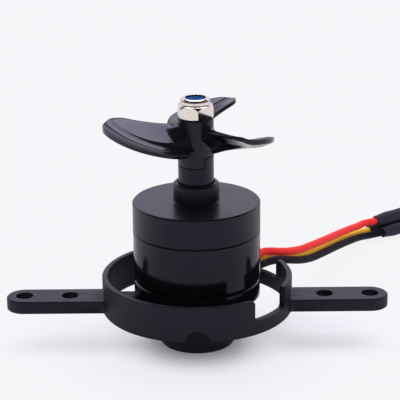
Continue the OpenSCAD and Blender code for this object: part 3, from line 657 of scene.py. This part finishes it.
@dataclass
class Studio:
    """Pale floor, one soft lamp and a pale surround.

    A change of brightness is given by where it begins, where it is complete and how large it
    then is, if that isn't 1. Places on the floor are in metres, or in square metres where the
    name says so. In the surround they are shares of a direction.
    """

    floor_half: float = 3.0
    paper: Triple = (0.915, 0.915, 0.935)
    mirrored: Triple = (0.9, 0.87, 1.04)
    matte: Triple = (0.8, 0.77, 0.89)
    lamp_place: Triple = (0.0, 0.4, 1.0)
    lamp_aim: Triple = (0.0, 0.0, 0.03)
    lamp_size: Pair = (0.9, 0.62)
    lamp_power: float = 6.0
    lamp_colour: Triple = (0.97, 0.95, 1.0)
    # Share of white paper seen on the floor. It is lowest round the foot, which paints a pool of
    # shade over the real shadow.
    white_core: float = 0.1
    white_near: Triple = (0.010, 0.030, 0.74)
    white_far: Triple = (0.030, 0.060, 0.1)
    # Painted shadow under the arms: where the band lies, how wide and long it is, and how much
    # white it takes away.
    arm_y: float = 0.005
    arm_band_squared: Pair = (0.00004, 0.0004)
    arm_root_squared: Pair = (0.0002, 0.0008)
    arm_tip_squared: Pair = (0.0016, 0.0045)
    arm_shade: float = 0.22
    arm_shade_right: Triple = (-0.02, 0.02, 0.1)
    # Painted light: the floor glows for reflected rays at a level set by place, low round the
    # thruster as if in its shade.
    mirror_core: float = 0.12
    mirror_ring: Triple = (0.022, 0.07, 0.44)
    mirror_beside: float = 0.38
    beside: Pair = (0.0, 0.15)
    beside_squared: Pair = (0.0075, 0.02)
    front: Triple = (0.14, 0.18, 0.75)
    mirror_back: Triple = (0.15, 0.5, 0.5)
    mirror_edge: Pair = (0.008, 0.022)
    sky_front: float = 0.12
    sky_back: Triple = (0.2, 0.7, 0.88)
    sky_top: Triple = (0.5, 0.75, 0.85)
    sky_foot: float = 0.4
    sky_low: Triple = (0.02, 0.16, 0.6)
    sky_fill: float = 0.95

    def build(self) -> None:
        """Make the floor, the surround and the lamp."""
        self._floor()
        self._surround()
        self._lamp()
        LOG.info("studio built")

    def _white(self, spot: Spot) -> Signal:
        """Share of white paper in what the camera sees of the floor; the rest is the matte floor.

        Args:
            spot: Place on the floor and distance from the shaft.

        Returns:
            The share, least at the foot and a little less under the arms. There the matte floor's
            real shadow shows, and the lower share paints more shade: a pool round the foot and a
            faint band under each arm.
        """
        x, y, _, reach = spot
        white = self.white_core + reach.between(*self.white_near) + reach.between(*self.white_far)
        # Painted shadow: less white in a band under each arm.
        behind, wide = y - self.arm_y, x * x
        under = 1 - (behind * behind).between(*self.arm_band_squared)
        under = under * (1 - wide.between(*self.arm_tip_squared))
        shade = self.arm_shade + x.between(*self.arm_shade_right)
        return white - shade * under * wide.between(*self.arm_root_squared)

    def _mirror(self, spot: Spot) -> Signal:
        """Painted brightness of the floor in the thruster's reflections.

        Args:
            spot: Place on the floor and distance from the shaft.

        Returns:
            The brightness, least under the thruster, where it stands in for the thruster's shade.
        """
        x, y, _, reach = spot
        beside = y.between(*self.beside).over((x * x).between(*self.beside_squared))
        level = self.mirror_core + reach.between(*self.mirror_ring)
        level = level + self.mirror_beside * beside.over((0 - y).between(*self.front))
        return level - y.between(*self.mirror_back)

    def _floor(self) -> None:
        """Make the floor, which keeps the thruster's shadow and is white further off."""
        h = self.floor_half
        mesh = bpy.data.meshes.new("floor")
        mesh.from_pydata([(-h, -h, 0), (h, -h, 0), (h, h, 0), (-h, h, 0)], [], [(0, 1, 2, 3)])
        thing = put("floor", mesh)
        material = bpy.data.materials.new("pale_floor")
        graph = Graph(material)
        place = graph.add("ShaderNodeTexCoord").outputs["Object"]
        spot = graph.axes(place)
        rays = graph.add("ShaderNodeLightPath")
        glossy = graph.signal(rays, "Is Glossy Ray")
        camera = graph.signal(rays, "Is Camera Ray").over(graph.signal(rays, "Is Transmission Ray"))
        mirror = glossy * spot[3].between(*self.mirror_edge)
        seen = (camera * self._white(spot)).over(mirror)
        level = self._mirror(spot).over(1 - glossy)
        matte = graph.add("ShaderNodeBsdfDiffuse", {"Color": self.matte})
        glow = graph.add("ShaderNodeEmission", {"Color": self.paper, "Strength": level})
        sockets = {0: seen, 1: matte.outputs[0], 2: glow.outputs[0]}
        mixed = graph.add("ShaderNodeMixShader", sockets)
        graph.add("ShaderNodeOutputMaterial", {"Surface": mixed.outputs[0]})
        mesh.materials.append(material)

    def _surround(self) -> None:
        """Make the surround: white at the back, dim at the front and dark overhead."""
        world = bpy.data.worlds.new("surround")
        bpy.context.scene.world = world
        graph = Graph(world)
        way = graph.add("ShaderNodeTexCoord").outputs["Generated"]
        _, depth, height, _ = graph.axes(way)
        rays = graph.add("ShaderNodeLightPath")
        glossy, camera = graph.signal(rays, "Is Glossy Ray"), graph.signal(rays, "Is Camera Ray")
        level = self.sky_front + depth.between(*self.sky_back)
        level = level * (1 - height.between(*self.sky_top))
        level = level * (self.sky_foot + height.between(*self.sky_low))
        level = level.over(self.sky_fill * (1 - glossy)).over(camera)
        colour = graph.blend(glossy, self.paper, self.mirrored)
        sky = graph.add("ShaderNodeBackground", {"Color": colour, "Strength": level})
        graph.add("ShaderNodeOutputWorld", {"Surface": sky.outputs[0]})

    def _lamp(self) -> None:
        """Make the soft lamp overhead."""
        lamp = bpy.data.lights.new("overhead_softbox", "AREA")
        lamp.shape = "RECTANGLE"
        lamp.size, lamp.size_y = self.lamp_size
        lamp.energy = self.lamp_power
        lamp.color = self.lamp_colour
        thing = put("overhead_softbox", lamp)
        thing.location = self.lamp_place
        way = Vector(self.lamp_aim) - Vector(self.lamp_place)
        thing.rotation_euler = way.to_track_quat("-Z", "Y").to_euler()


class LeadColour(Enum):
    """The three leads by colour."""

    RED = "red"
    YELLOW = "yellow"
    BLACK = "black"


@dataclass
class Lead(Assembly):
    """One motor lead with its sleeve.

    The side is its place at the grommet. The row, the level and the lag place its sleeve in
    the stack of sleeves on the floor.
    """

    colour: LeadColour
    finish: Finish
    side: int
    route: Sequence[Triple]
    row: float
    level: int
    lag: float
    diameter: float = 2.5
    pitch: float = 2.7
    exit_r: float = 20.7
    exit_angle: float = 43.0
    exit_z: float = 18.8
    straight: float = 3.4
    lie: float = 5.5
    dip: float = 0.3
    heading: float = 37.0
    stack_x: float = 66.7
    stack_y: float = 90.4
    sleeve_len: float = 22.0
    sleeve_mouth_d: float = 3.6
    sleeve_d: float = 4.6
    sleeve_gap: float = 0.1
    sleeve_core_r: float = 0.05
    sleeve_seat: float = 0.7
    sleeve_lip: Sequence[Pair] = ((-0.3, 0.12), (-0.12, 0.0), (0.0, 0.16))
    sleeve_waist: Sequence[Pair] = ((-0.1, 0.42), (-0.02, 0.56), (0.0, 0.72))
    sleeve_foot: Sequence[Pair] = ((0.0, 0.5), (-0.08, 0.15), (-0.25, 0.0), (-0.55, 0.0))
    sleeve_dent: float = 0.02
    sleeve_steps: int = 10
    sleeve_segments: int = 40
    sleeve_sharp: float = 40.0
    wire_steps: int = 5

    def _exit(self, out: float) -> Vector:
        """Point on the lead's straight way out of the grommet."""
        turn = Matrix.Rotation(math.radians(self.exit_angle), 3, "Z")
        return turn @ Vector((self.exit_r + out, self.side * self.pitch, self.exit_z))

    def _end(self, back: float) -> Vector:
        """Point on the axis of the lead's sleeve.

        Args:
            back: Way back from the sleeve's mouth in millimetres.

        Returns:
            The point in millimetres.
        """
        turn = Matrix.Rotation(math.radians(self.heading), 3, "Z")
        step = self.sleeve_d + self.sleeve_gap
        z = self.sleeve_d / 2 + self.level * step * math.sqrt(3) / 2
        way = turn @ Vector((-self.lag - back, self.row * step, z))
        return Vector((self.stack_x, self.stack_y, 0)) + way

    def points(self) -> list[Vector]:
        """Lay the route from the grommet's collar to the sleeve.

        Returns:
            Its points in metres.
        """
        last = self._end(self.lie) + Vector((0, 0, self.dip))
        middle = [Vector(point) for point in self.route]
        route = [self._exit(0), self._exit(self.straight), *middle, last, self._end(0)]
        return [point * MM for point in route]

    def build(self) -> None:
        name = self.colour.value
        sleeve = self._sleeve()
        wire = self._wire()
        self.finishes.dress_piece(wire, Body.BRACKET, f"{name}_lead", self.finish)
        self.finishes.dress_node(f"{name}_bullet", Finishes.GOLD)
        points = self.points()
        length = sum((b - a).length for a, b in zip(points, points[1:]))

    def _wire(self) -> Thing:
        """Make the lead as one open spline with a round section.

        Returns:
            The new curve.
        """
        points = self.points()
        curve = bpy.data.curves.new(f"{self.colour.value}_lead_wire", "CURVE")
        curve.dimensions = "3D"
        curve.bevel_depth = 1.0
        curve.bevel_resolution = self.wire_steps
        curve.resolution_u = self.wire_steps
        curve.use_fill_caps = True
        spline = curve.splines.new("BEZIER")
        spline.bezier_points.add(len(points) - 1)
        for knot, point in zip(spline.bezier_points, points):
            knot.co = point
            knot.radius = self.diameter / 2 * MM
            knot.handle_left_type = knot.handle_right_type = "AUTO"
        return put(curve.name, curve)

    def _sleeve(self) -> Thing:
        """Make the shrunk sleeve, which stands for the solid one.

        Returns:
            The new piece.
        """
        end = self.points()[-1] / MM
        place = Matrix.Translation(end) @ Matrix.Rotation(math.radians(self.heading), 4, "Z")
        place = place @ Matrix.Rotation(math.radians(90), 4, "Y")
        bm = bmesh.new()
        lathe(bm, self._sleeve_outline(), self.sleeve_segments, place)
        sleeve = as_object(f"{self.colour.value}_shrunk_sleeve", bm, self.sleeve_sharp)
        node = f"{self.colour.value}_sleeve"
        self.finishes.dress_piece(sleeve, Body.BRACKET, node, Finishes.SLEEVE, "sleeve")
        return sleeve

    def _sleeve_outline(self) -> list[Pair]:
        """Draw the sleeve's lip, the swell behind it, its faint waist and its far end.

        Returns:
            Radius and way from the mouth of each point.
        """
        mouth, full, long = self.sleeve_mouth_d / 2, self.sleeve_d / 2, self.sleeve_len
        outline = [(self.sleeve_core_r, self.sleeve_seat), (self.diameter / 2, self.sleeve_seat)]
        outline += [(mouth + out, way) for out, way in self.sleeve_lip]
        start = outline[-1][1]
        for k in range(1, self.sleeve_steps + 1):
            x = k / self.sleeve_steps
            swell = 3 * x * x - 2 * x ** 3
            outline.append((mouth + (full - mouth) * swell, start + x * long / 4))
        outline += [(full + out, long * share) for out, share in self.sleeve_waist]
        outline += [(full + out, long - back) for out, back in self.sleeve_foot]
        return outline + [(self.sleeve_core_r, long - self.sleeve_dent)]


@dataclass
class Wiring(Assembly):
    """The three leads, side by side from the grommet to the floor."""

    red: Sequence[Triple] = (
        (18.9, 18.4, 19.7), (20.7, 21, 20.7), (23.3, 23.7, 20.1), (26.7, 27.4, 18.6),
        (30.2, 31.8, 17.1), (33.8, 37.2, 15.7), (37.5, 44, 14.4), (41.4, 51.8, 13),
        (45.5, 60.2, 11.5), (49.6, 68.8, 10), (53.9, 77.2, 8.5), (57.3, 83.6, 7.3),
    )
    yellow: Sequence[Triple] = (
        (18.2, 21.1, 18.4), (20.8, 24, 17.8), (23.5, 27, 17.2), (26.9, 31, 15.8),
        (30.4, 35.8, 13.9), (34.1, 41.4, 12.2), (37.9, 48.4, 10.6), (41.8, 56.4, 9.1),
        (45.9, 64.8, 7.6), (50.1, 73.4, 6), (54.4, 82.2, 4.2),
    )
    black: Sequence[Triple] = (
        (21.3, 17.2, 18.5), (23.4, 19.8, 18.2), (26.6, 24, 17.1), (30.1, 29, 15.1),
        (33.7, 35, 12.8), (37.4, 41.8, 10.8), (41.3, 49.6, 9.3), (45.3, 57.6, 8),
        (49.4, 65.8, 6.7), (53.6, 73.8, 5.3), (57.5, 80.8, 4),
    )

    def build(self) -> None:
        """Make the leads and dress the grommet."""
        for colour, finish, side, route, row, level, lag in (
            (LeadColour.RED, Finishes.RED, 0, self.red, 0.5, 1, 1.2),
            (LeadColour.YELLOW, Finishes.YELLOW, 1, self.yellow, 1, 0, 2.3),
            (LeadColour.BLACK, Finishes.BLACK, -1, self.black, 0, 0, 0),
        ):
            Lead(self.finishes, colour, finish, side, route, row, level, lag).build()
        self.finishes.dress_node("lead_grommet", Finishes.GROMMET)


@dataclass
class Propeller(Assembly):
    """Hub and three creased blades, from the same curves as the solid one.

    Along a blade u goes from 0 at the root to 1 at the tip. Across its chord t goes from 0 at
    the high edge to 1 at the low edge.
    """

    foot_z: float = 56.65
    hub_r: float = 5.375
    hub_h: float = 14.85
    bore_r: float = 3.1
    tip_r: float = 28.0
    count: int = 3
    first_angle: float = 193.5
    thickness: float = 1.5
    root_thickness: float = 1.0
    root_power: int = 4
    root_overlap: float = 0.1
    tip_from: float = 0.7
    tip_end: float = 0.999
    tip_power: float = 1.55
    tip_lift: float = 0.6
    flat_root: float = 0.82
    flat_tip: float = 2.0
    cove_power: float = 3.6
    crease_root: float = 0.61
    crease_power: float = 1.55
    crease_tip: float = 0.02
    edge_share: float = 0.55
    edge_power: int = 6
    edge_round: float = 0.25
    high_reach: Triple = (1.7, 4.1, 9.2)
    low_reach: Triple = (3.9, 13.9, 11.5)
    high_rise: Triple = (12.05, 13.15, 15.35)
    low_rise: Triple = (4.35, 6.85, 11.95)
    fillet_long: float = 3.8
    fillet_high: float = 1.5
    fillet_power: float = 1.3
    fillet_from: float = 0.14
    fillet_to: float = 0.35
    seam_h: float = 0.3
    seam_depth: float = 0.5
    slot_w: float = 6.6
    slot_h: float = 3.45
    slot_angle: float = -25.0
    hub_edge: float = 0.4
    hub_edge_steps: int = 5
    hub_segments: int = 96
    hub_sharp: float = 38.0
    blade_sharp: float = 75.0
    stations: int = 44
    root_stations: int = 12
    root_zone: float = 0.18
    flat_steps: int = 12
    cove_steps: int = 24
    crease_step: float = 0.012
    crease_margin: float = 0.02

    @property
    def root_r(self) -> float:
        """Radius inside the hub's wall at which a blade begins."""
        return (self.bore_r - self.root_overlap + self.hub_r) / 2

    @staticmethod
    def curve(values: Triple, u: float) -> float:
        """Parabola through three values at 0, 1/2 and 1."""
        a, b, c = values
        return a * (1 - u) * (1 - 2 * u) + 4 * b * u * (1 - u) + c * u * (2 * u - 1)

    def tip_way(self, u: float) -> float:
        """How far u lies along the rounded tip, from 0 at its start to 1 at its end."""
        return max(0.0, u - self.tip_from) / (1 - self.tip_from)

    def tip_fill(self, u: float) -> float:
        """Share of the chord that is left at u on the way to the rounded tip."""
        return math.sqrt(max(0.0, 1 - self.tip_way(u) ** self.tip_power))

    def tip_turn(self, u: float) -> float:
        """Rise of the blade where its rounded tip turns up."""
        return self.tip_lift * self.tip_way(u) ** 2

    def crease(self, u: float) -> float:
        """Place of the crease across the chord at u."""
        return self.crease_root * (1 - u ** self.crease_power) + self.crease_tip

    def fall(self, t: float, u: float) -> float:
        """Fall from the high edge to the low edge: a flat face, then a cove past the crease.

        Args:
            t: Place across the chord.
            u: Place along the blade.

        Returns:
            The fall as a share of the whole.
        """
        c, k = self.crease(u), self.flat_root + (self.flat_tip - self.flat_root) * u
        if t < c:
            return k * t
        return k * c + (1 - k * c) * (1 - max(0.0, 1 - (t - c) / (1 - c)) ** self.cove_power)

    def root_flare(self, r: float, t: float, side: int) -> float:
        """Extra thickness of the fillet, where the blade runs into the hub.

        Args:
            r: Distance from the shaft in millimetres.
            t: Place across the chord.
            side: 1 for the upper face and -1 for the lower face, which has none at the low edge.

        Returns:
            The thickness in millimetres.
        """
        away = min(max(r - self.hub_r, 0.0) / self.fillet_long, 1.0)
        share = min(1.0, t / self.fillet_from)
        if side < 0:
            share = min(share, (1 - t) / self.fillet_to)
        return self.fillet_high * (1 - away) ** self.fillet_power * share ** 2

    def point(self, u: float, t: float, side: int) -> Vector:
        """A point of the blade that lies along +X.

        Args:
            u: Place along the blade.
            t: Place across the chord.
            side: 1 for the upper face and -1 for the lower face.

        Returns:
            The point in millimetres.
        """
        r = self.root_r + (self.tip_r - self.root_r) * u
        high, low = self.curve(self.high_reach, u), self.curve(self.low_reach, u)
        top, foot = self.curve(self.high_rise, u), self.curve(self.low_rise, u)
        across = (t * (high + low) - high) * self.tip_fill(u)
        place = (across + high) / (high + low)
        rise = top + (foot - top) * self.fall(place, u) + self.tip_turn(u)
        drop = top - foot
        chord = math.hypot(high + low, drop)
        body = (self.thickness + self.root_thickness * (1 - u) ** self.root_power) / 2
        bulge = max(0.0, 1 - abs(2 * t - 1) ** self.edge_power) ** self.edge_round
        edge = self.edge_share + (1 - self.edge_share) * bulge
        off = side * (body * edge + self.root_flare(r, t, side))
        turn = (across + off * drop / chord) / r
        return polar(r, turn, self.foot_z + rise + off * (high + low) / chord)

    def blade_rings(self) -> list[list[Vector]]:
        """Draw the blade that lies along +X.

        Returns:
            Closed rings round it from inside the hub to the tip, in millimetres.
        """
        root_u = (self.hub_r - self.root_r) / (self.tip_r - self.hub_r)
        places = [self.tip_end * math.sin(a) for a in quarter(self.stations - 1)]
        near = range(self.root_stations + 1)
        places += [root_u + self.root_zone * k / self.root_stations for k in near]
        rings = []
        for u in sorted(set(places)):
            across = self.chord_places(u)
            upper = [self.point(u, t, 1) for t in across]
            rings.append(upper + [self.point(u, t, -1) for t in reversed(across)])
        return rings

    def chord_places(self, u: float) -> list[float]:
        """Places across the chord, close together at both edges and beside the crease.

        Args:
            u: Place along the blade.

        Returns:
            The places from the high edge to the low edge.
        """
        high, low = self.curve(self.high_reach, u), self.curve(self.low_reach, u)
        c = ((self.crease(u) * (high + low) - high) / self.tip_fill(u) + high) / (high + low)
        c = min(max(c, self.crease_margin), 1 - self.crease_margin)
        fine = min(self.crease_step, c / 6)
        before, after = c - 2 * fine, c + 2 * fine
        flat = [before * (1 - math.cos(a)) for a in quarter(self.flat_steps)]
        cove = [after + (1 - after) * math.sin(a) for a in quarter(self.cove_steps)]
        return [*flat, c - fine, c, c + fine, *cove]

    def build(self) -> None:
        """Make the propeller, which stands for the solid one."""
        piece = self._hub()
        bm = bmesh.new()
        bm.from_mesh(piece.data)
        rings = self.blade_rings()
        for i in range(self.count):
            angle = math.radians(self.first_angle + 360 * i / self.count)
            turn = Matrix.Rotation(angle, 4, "Z")
            loft(bm, [[turn @ p * MM for p in ring] for ring in rings])
        bmesh.ops.recalc_face_normals(bm, faces=bm.faces)
        bm.to_mesh(piece.data)
        bm.free()
        smooth(piece.data, self.blade_sharp)
        self.finishes.dress_piece(piece, Body.ROTOR, "propeller", Finishes.PROPELLER)

    def _hub(self) -> Thing:
        """Make the turned hub with the slot for the drive dog's tongue.

        Returns:
            The new piece, without its blades.
        """
        z0, z1, e = self.foot_z, self.foot_z + self.hub_h, self.hub_edge
        inset, seam = self.hub_r - self.seam_depth, z0 + self.seam_h
        outline = [(self.bore_r, z0), (inset, z0), (inset, seam), (self.hub_r, seam)]
        outline += arc((self.hub_r - e, z1 - e), e, 0, 90, self.hub_edge_steps)
        outline.append((self.bore_r, z1))
        bm = bmesh.new()
        lathe(bm, outline, self.hub_segments, Matrix.Identity(4))
        hub = as_object("propeller_moulding", bm, self.hub_sharp)
        bar = bmesh.new()
        size = Matrix.Diagonal((4 * self.hub_r, self.slot_w, 2 * self.slot_h, 1))
        turn = Matrix.Rotation(math.radians(self.slot_angle), 4, "Z")
        place = Matrix.Translation((0, 0, z0)) @ turn @ size
        bmesh.ops.create_cube(bar, size=1.0, matrix=place)
        carve(hub, as_object("slot_cutter", bar, CUTTER_SHARP))
        return hub


@dataclass
class LockNut(Assembly):
    """Hexagon nut with chamfered corners, a turned shoulder and a rim bent over its nylon ring."""

    foot_z: float = 71.5
    across_flats: float = 10.0
    corner_angle: float = -82.0
    hex_top: float = 75.6
    rim_z: float = 77.5
    bore_r: float = 3.05
    pocket_r: float = 3.86
    pocket_z: float = 75.05
    mouth_r: float = 3.04
    collar_r: float = 4.45
    chamfer_r: float = 4.6
    chamfer_bow: float = 0.9
    chamfer_steps: int = 4
    foot_chamfer: float = 0.3
    foot_slope: float = 0.4
    neck: Pair = (0.05, 0.06)
    neck_h: float = 0.25
    shoulder_r: float = 1.0
    shoulder_turn: float = 78.0
    shoulder_steps: int = 8
    lip_r: float = 0.2
    lip_gap: float = 0.22
    lip_h: float = 0.46
    lip_turn: Pair = (100.0, 180.0)
    lip_steps: int = 5
    steps: int = 144
    sharp: float = 26.0

    def flat_r(self, turn: float) -> float:
        """Radius of the hexagon at an angle in degrees from a corner."""
        return self.across_flats / 2 / math.cos(math.radians(turn % 60 - 30))

    def profile(self, turn: float) -> list[Pair]:
        """Outline of the nut's section.

        Args:
            turn: Angle of the section in degrees from a corner.

        Returns:
            Radius and height of each point.
        """
        r, start, top = self.flat_r(turn), self.chamfer_r, self.hex_top
        shares = [k / self.chamfer_steps for k in range(self.chamfer_steps, 0, -1)]
        steps = [start + (r - start) * share for share in shares]
        chamfer = [(step, top - self.chamfer_bow * (step - start) ** 2) for step in steps]
        bend, under = self.shoulder_r, self.rim_z - self.lip_h
        centre = (self.collar_r - bend, self.rim_z - bend)
        shoulder = arc(centre, bend, 0, self.shoulder_turn, self.shoulder_steps)
        centre = (self.mouth_r + self.lip_gap, self.rim_z - self.lip_r)
        lip = arc(centre, self.lip_r, *self.lip_turn, self.lip_steps)
        return [
            (self.bore_r, self.foot_z + self.foot_chamfer),
            (self.bore_r + self.foot_chamfer, self.foot_z),
            (start, self.foot_z), (r, self.foot_z + self.foot_slope * (r - start)),
            *chamfer, (start, top),
            (self.collar_r + self.neck[0], top + self.neck[1]),
            (self.collar_r, top + self.neck_h), *shoulder,
            *lip, (self.mouth_r, under), (self.pocket_r, under),
            (self.pocket_r, self.pocket_z), (self.bore_r, self.pocket_z),
        ]

    def build(self) -> None:
        """Make the nut, which stands for the solid one, and dress its nylon ring."""
        rings = []
        for turn in (360 * k / self.steps for k in range(self.steps)):
            angle = math.radians(self.corner_angle + turn)
            rings.append([polar(r, angle, z) for r, z in self.profile(turn)])
        bm = bmesh.new()
        loft(bm, rings, round_trip=True)
        nut = as_object("nickel_lock_nut", bm, self.sharp)
        self.finishes.dress_piece(nut, Body.ROTOR, "lock_nut", Finishes.NUT)
        self.finishes.dress_node("nylon_insert", Finishes.NYLON)


@dataclass
class Motor(Assembly):
    """The motor's fixed half and its turning half, which keep their solids."""

    def build(self) -> None:
        """Dress every solid of the motor."""
        for finish, nodes in (
            (Finishes.CAN, ("motor_base", "rotor_can")),
            (Finishes.LAMINATION, ("stator_core",)),
            (Finishes.MOULDED_PALE, ("lower_insulator", "upper_insulator")),
            (Finishes.MOULDED_PALE, ("lower_bush", "upper_bush")),
            (Finishes.COPPER, ("stator_windings",)),
            (Finishes.TURNED, ("bell_cap", "drive_dog")),
            (Finishes.STEEL, ("rotor_magnets", "shaft", "retaining_clip")),
            (Finishes.BRONZE, ("lower_washer", "upper_washer")),
        ):
            for node in nodes:
                self.finishes.dress_node(node, finish)


@dataclass
class Bracket(Assembly):
    """The ring bracket, with both notches cut to their full depth, and the screws in its foot."""

    ring_inner_r: float = 27.2
    ring_outer_r: float = 29.0
    ring_top: float = 22.0
    notch_floor: float = 15.5
    notch_from: float = 24.95
    notch_to: float = 54.05
    notch_round: float = 1.4
    bend_steps: int = 8
    floor_steps: int = 12
    past_wall: float = 0.5
    past_top: float = 1.0

    def build(self) -> None:
        """Make the bracket, which stands for the solid one, and dress its screws."""
        node = "mount_bracket"
        bracket = put("ring_bracket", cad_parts[node].data.copy())
        waste = bmesh.new()
        for side in (1, -1):
            loft(waste, [self._section(*spot, side) for spot in self._floor()])
        carve(bracket, as_object("notch_cutter", waste, CUTTER_SHARP))
        smooth(bracket.data, SOLID_SHARP)
        bracket.modifiers.new("flat_faces", "WEIGHTED_NORMAL").keep_sharp = True
        bake(bracket)
        self.finishes.dress_piece(bracket, Body.BRACKET, node, Finishes.BRACKET, "bracket")
        self.finishes.dress_node("base_screws", Finishes.STEEL)

    def _floor(self) -> list[Pair]:
        """Draw a notch's floor, which curves up at both ends.

        Returns:
            Angle from the arm in degrees and height of each spot.
        """
        bend, low = quarter(self.bend_steps), self.notch_floor
        whole = math.degrees(self.notch_round / self.ring_outer_r)
        turns = [whole * (1 - math.cos(a)) for a in bend]
        heights = [low + self.notch_round * (1 - math.sin(a)) for a in bend]
        left = [(self.notch_from + turn, z) for turn, z in zip(turns, heights)]
        right = [(self.notch_to - turn, z) for turn, z in zip(turns, heights)]
        first, last = left[-1][0], right[-1][0]
        shares = [k / self.floor_steps for k in range(1, self.floor_steps)]
        flat = [(first + (last - first) * share, low) for share in shares]
        return [*left, *flat, *reversed(right)]

    def _section(self, turn: float, low: float, side: int) -> list[Vector]:
        """Section of the waste in a notch.

        Args:
            turn: Angle from the arm in degrees.
            low: Height of the notch's floor there.
            side: 1 for the notch at the back and -1 for the one at the front.

        Returns:
            The section's corners in millimetres.
        """
        angle, high = side * math.radians(turn), self.ring_top + self.past_top
        near, far = self.ring_inner_r - self.past_wall, self.ring_outer_r + self.past_wall
        corners = ((near, low), (far, low), (far, high), (near, high))
        return [polar(r, angle, z) for r, z in corners]


def write_sizes() -> None:
    """Bring the scene's transforms up to date."""
    bpy.context.view_layer.update()


def main() -> None:
    """Build the thruster's looks in order."""
    logging.basicConfig(level=logging.INFO, format="%(message)s")
    bpy.context.scene.view_settings.view_transform = "Standard"
    finishes = Finishes()
    Viewpoint().build()
    for assembly in (Wiring, Bracket, Motor, Propeller, LockNut):
        assembly(finishes).build()
    Studio().build()
    write_sizes()


if __name__ == "__main__":
    main()
